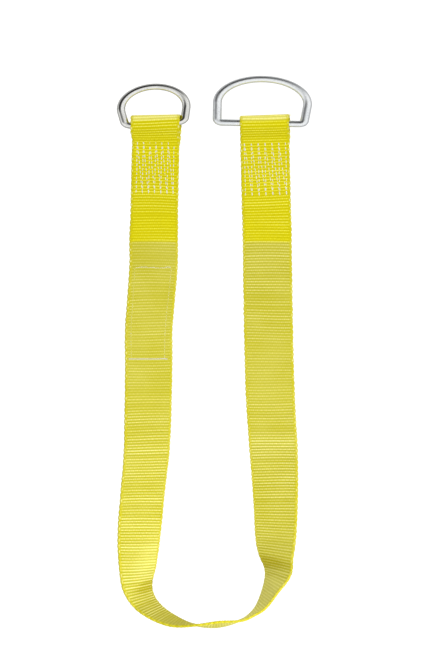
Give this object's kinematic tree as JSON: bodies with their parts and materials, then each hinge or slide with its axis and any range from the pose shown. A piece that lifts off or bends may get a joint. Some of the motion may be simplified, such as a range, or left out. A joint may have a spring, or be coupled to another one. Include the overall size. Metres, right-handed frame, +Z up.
{
  "type": "webbing anchor strap",
  "caption": "Webbing anchor strap with a small D-ring sewn into one end and a larger D-ring into the other, laid out in a long U.",
  "frame": {"origin": "on the surface that the strap lies on, under the middle of its box", "axes": "+Y along the two legs towards the D-rings, +Z up, small ring on -X and large ring on +X"},
  "size_m": [0.1992, 0.5629, 0.0501],
  "materials": {
    "webbing": "ribbed polyester webbing",
    "small_ring": "polished",
    "large_ring": "bright zinc plated",
    "thread": "white bonded thread",
    "label": "blank woven tape",
    "label_thread": "fine grey white thread"
  },
  "bodies": {
    "strap": {"webbing": "webbing", "small_end_needle_thread": "thread", "large_end_needle_thread": "thread", "small_end_bobbin_thread": "thread", "large_end_bobbin_thread": "thread", "label": "label", "label_needle_thread": "label_thread", "label_bobbin_thread": "label_thread"},
    "small_ring": {"small_d_ring": "small_ring"},
    "large_ring": {"large_d_ring": "large_ring"}
  },
  "joints": [
    {"name": "small_ring_hinge", "type": "hinge", "parent": "strap", "child": "small_ring", "pos_m": [-0.0609, 0.23259, 0.0069], "axis": [0.9973, 0.0732, 0], "range_deg": [-148, 178]},
    {"name": "large_ring_hinge", "type": "hinge", "parent": "strap", "child": "large_ring", "pos_m": [0.0484, 0.23304, 0.0067], "axis": [0.9998, -0.0192, 0], "range_deg": [-158, 178]}
  ]
}
